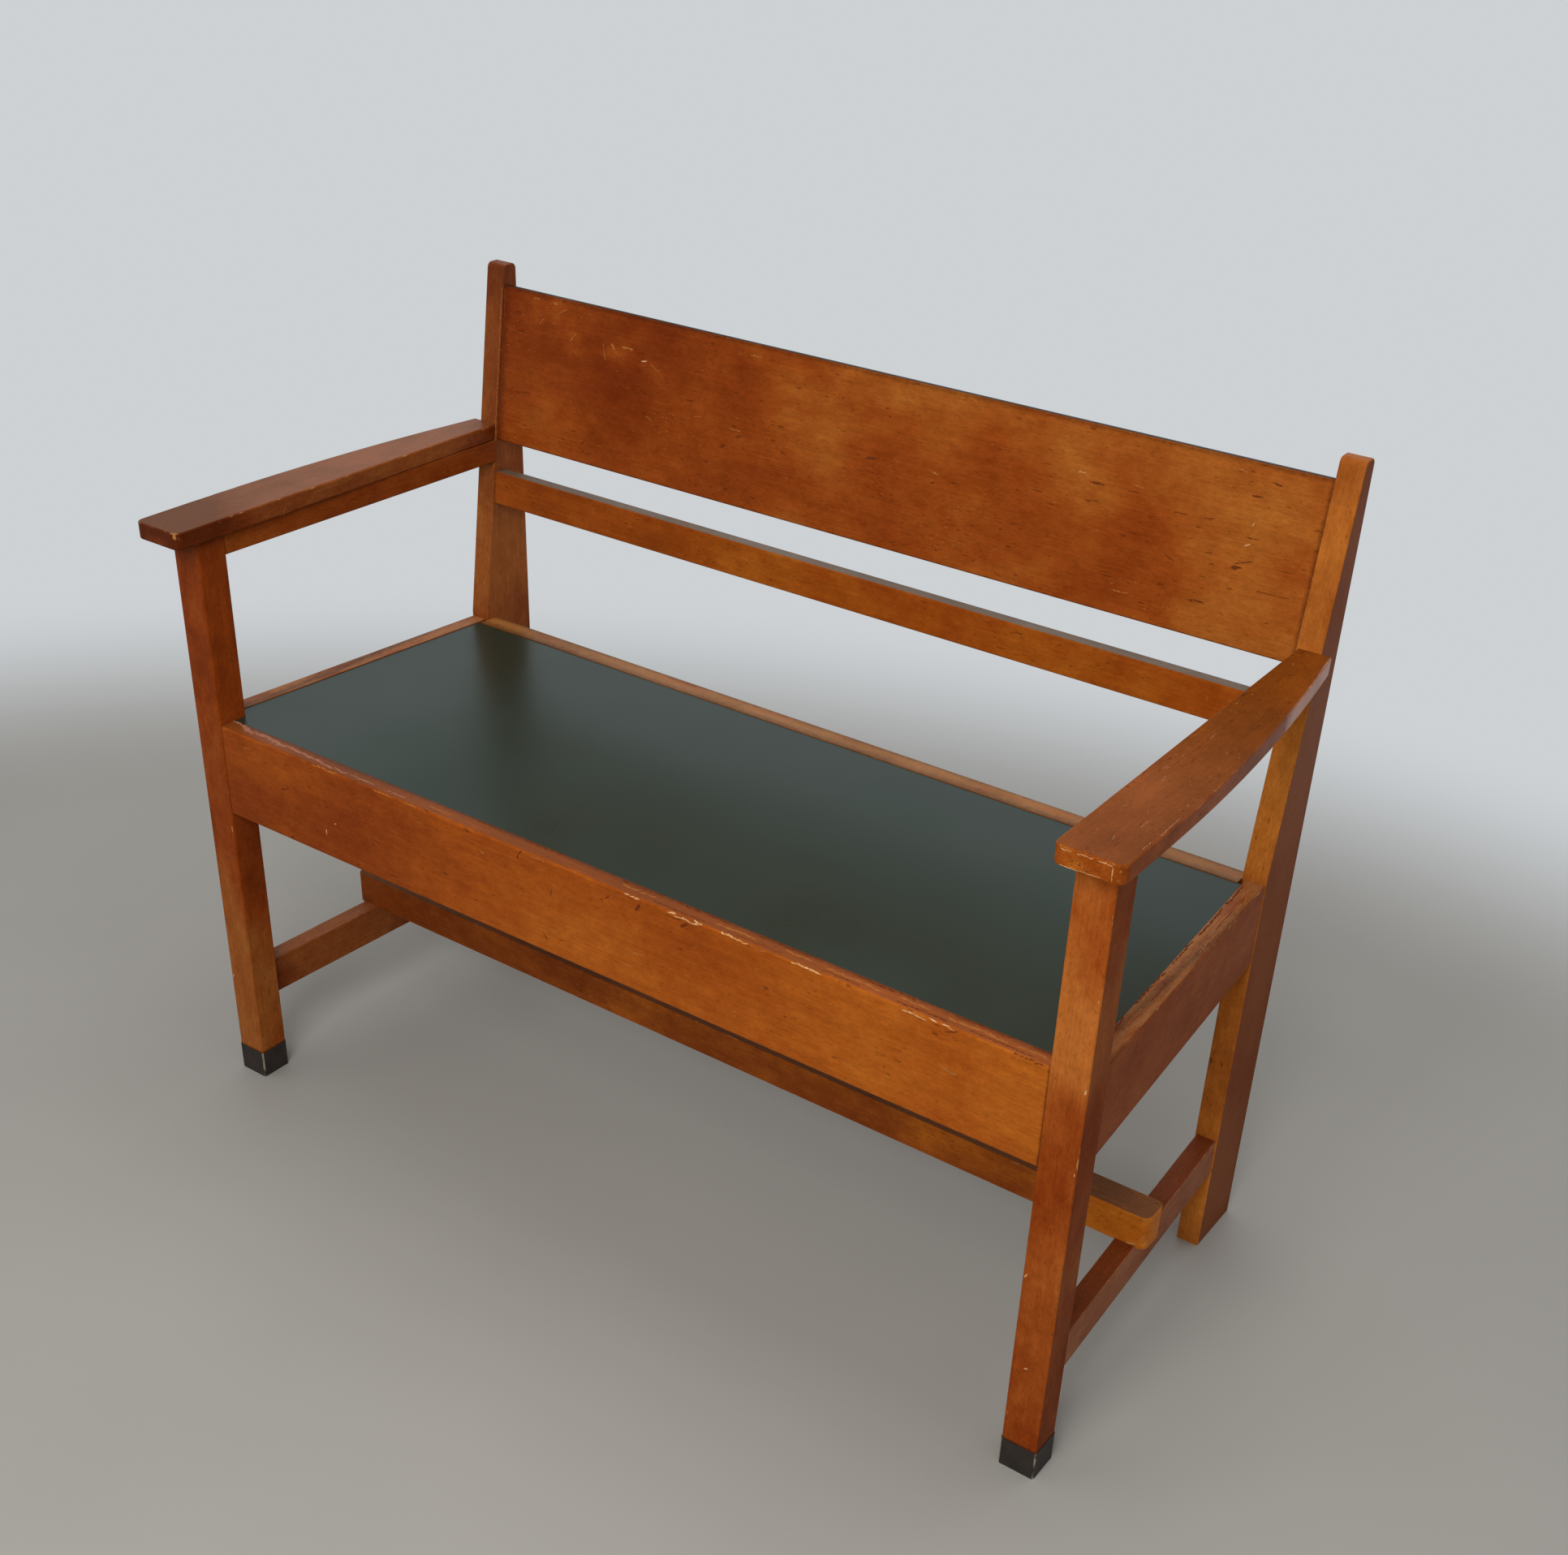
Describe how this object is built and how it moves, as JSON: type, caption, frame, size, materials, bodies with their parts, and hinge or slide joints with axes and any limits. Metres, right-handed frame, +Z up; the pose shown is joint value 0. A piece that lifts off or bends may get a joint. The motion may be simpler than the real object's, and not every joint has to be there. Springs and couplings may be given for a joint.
{
  "type": "two-seat wooden settle with arms",
  "caption": "Wooden two-seat settle with straight arms, a raked board back, a flush linoleum seat and tenoned stretchers.",
  "frame": {"origin": "on the floor, under the middle of the settle's bounding box", "axes": "+X across the seat, to the right as seen from the front; +Y from the front to the back; +Z up"},
  "size_m": [1.108, 0.508, 0.85],
  "materials": {
    "varnished_wood": "satin varnish, worn at the edges",
    "bare_softwood": "bare, sawn and planed",
    "plywood": "bare plywood",
    "linoleum": "polished linoleum, satin",
    "sleeve_rubber": "matte black",
    "screw_steel": "plain steel"
  },
  "bodies": {
    "root": {"front_leg_right": "varnished_wood", "front_leg_left": "varnished_wood", "rear_leg_right": "varnished_wood", "rear_leg_left": "varnished_wood", "arm_right": "varnished_wood", "arm_left": "varnished_wood", "arm_rail_right": "varnished_wood", "arm_rail_left": "varnished_wood", "front_seat_rail": "varnished_wood", "rear_seat_rail": "varnished_wood", "side_seat_rail_right": "varnished_wood", "side_seat_rail_left": "varnished_wood", "side_stretcher_right": "varnished_wood", "side_stretcher_left": "varnished_wood", "long_stretcher": "varnished_wood", "back_panel": "varnished_wood", "lower_back_rail": "varnished_wood", "front_batten_right": "bare_softwood", "front_batten_left": "bare_softwood", "rear_batten_right": "bare_softwood", "rear_batten_left": "bare_softwood", "side_batten_right": "bare_softwood", "side_batten_left": "bare_softwood", "seat_bearer": "bare_softwood", "arm_dowels": "bare_softwood", "seat_board": "plywood", "seat_linoleum": "linoleum", "foot_sleeve_right": "sleeve_rubber", "foot_sleeve_left": "sleeve_rubber", "arm_screws": "screw_steel", "batten_screws": "screw_steel", "stretcher_screws": "screw_steel"}
  },
  "joints": []
}
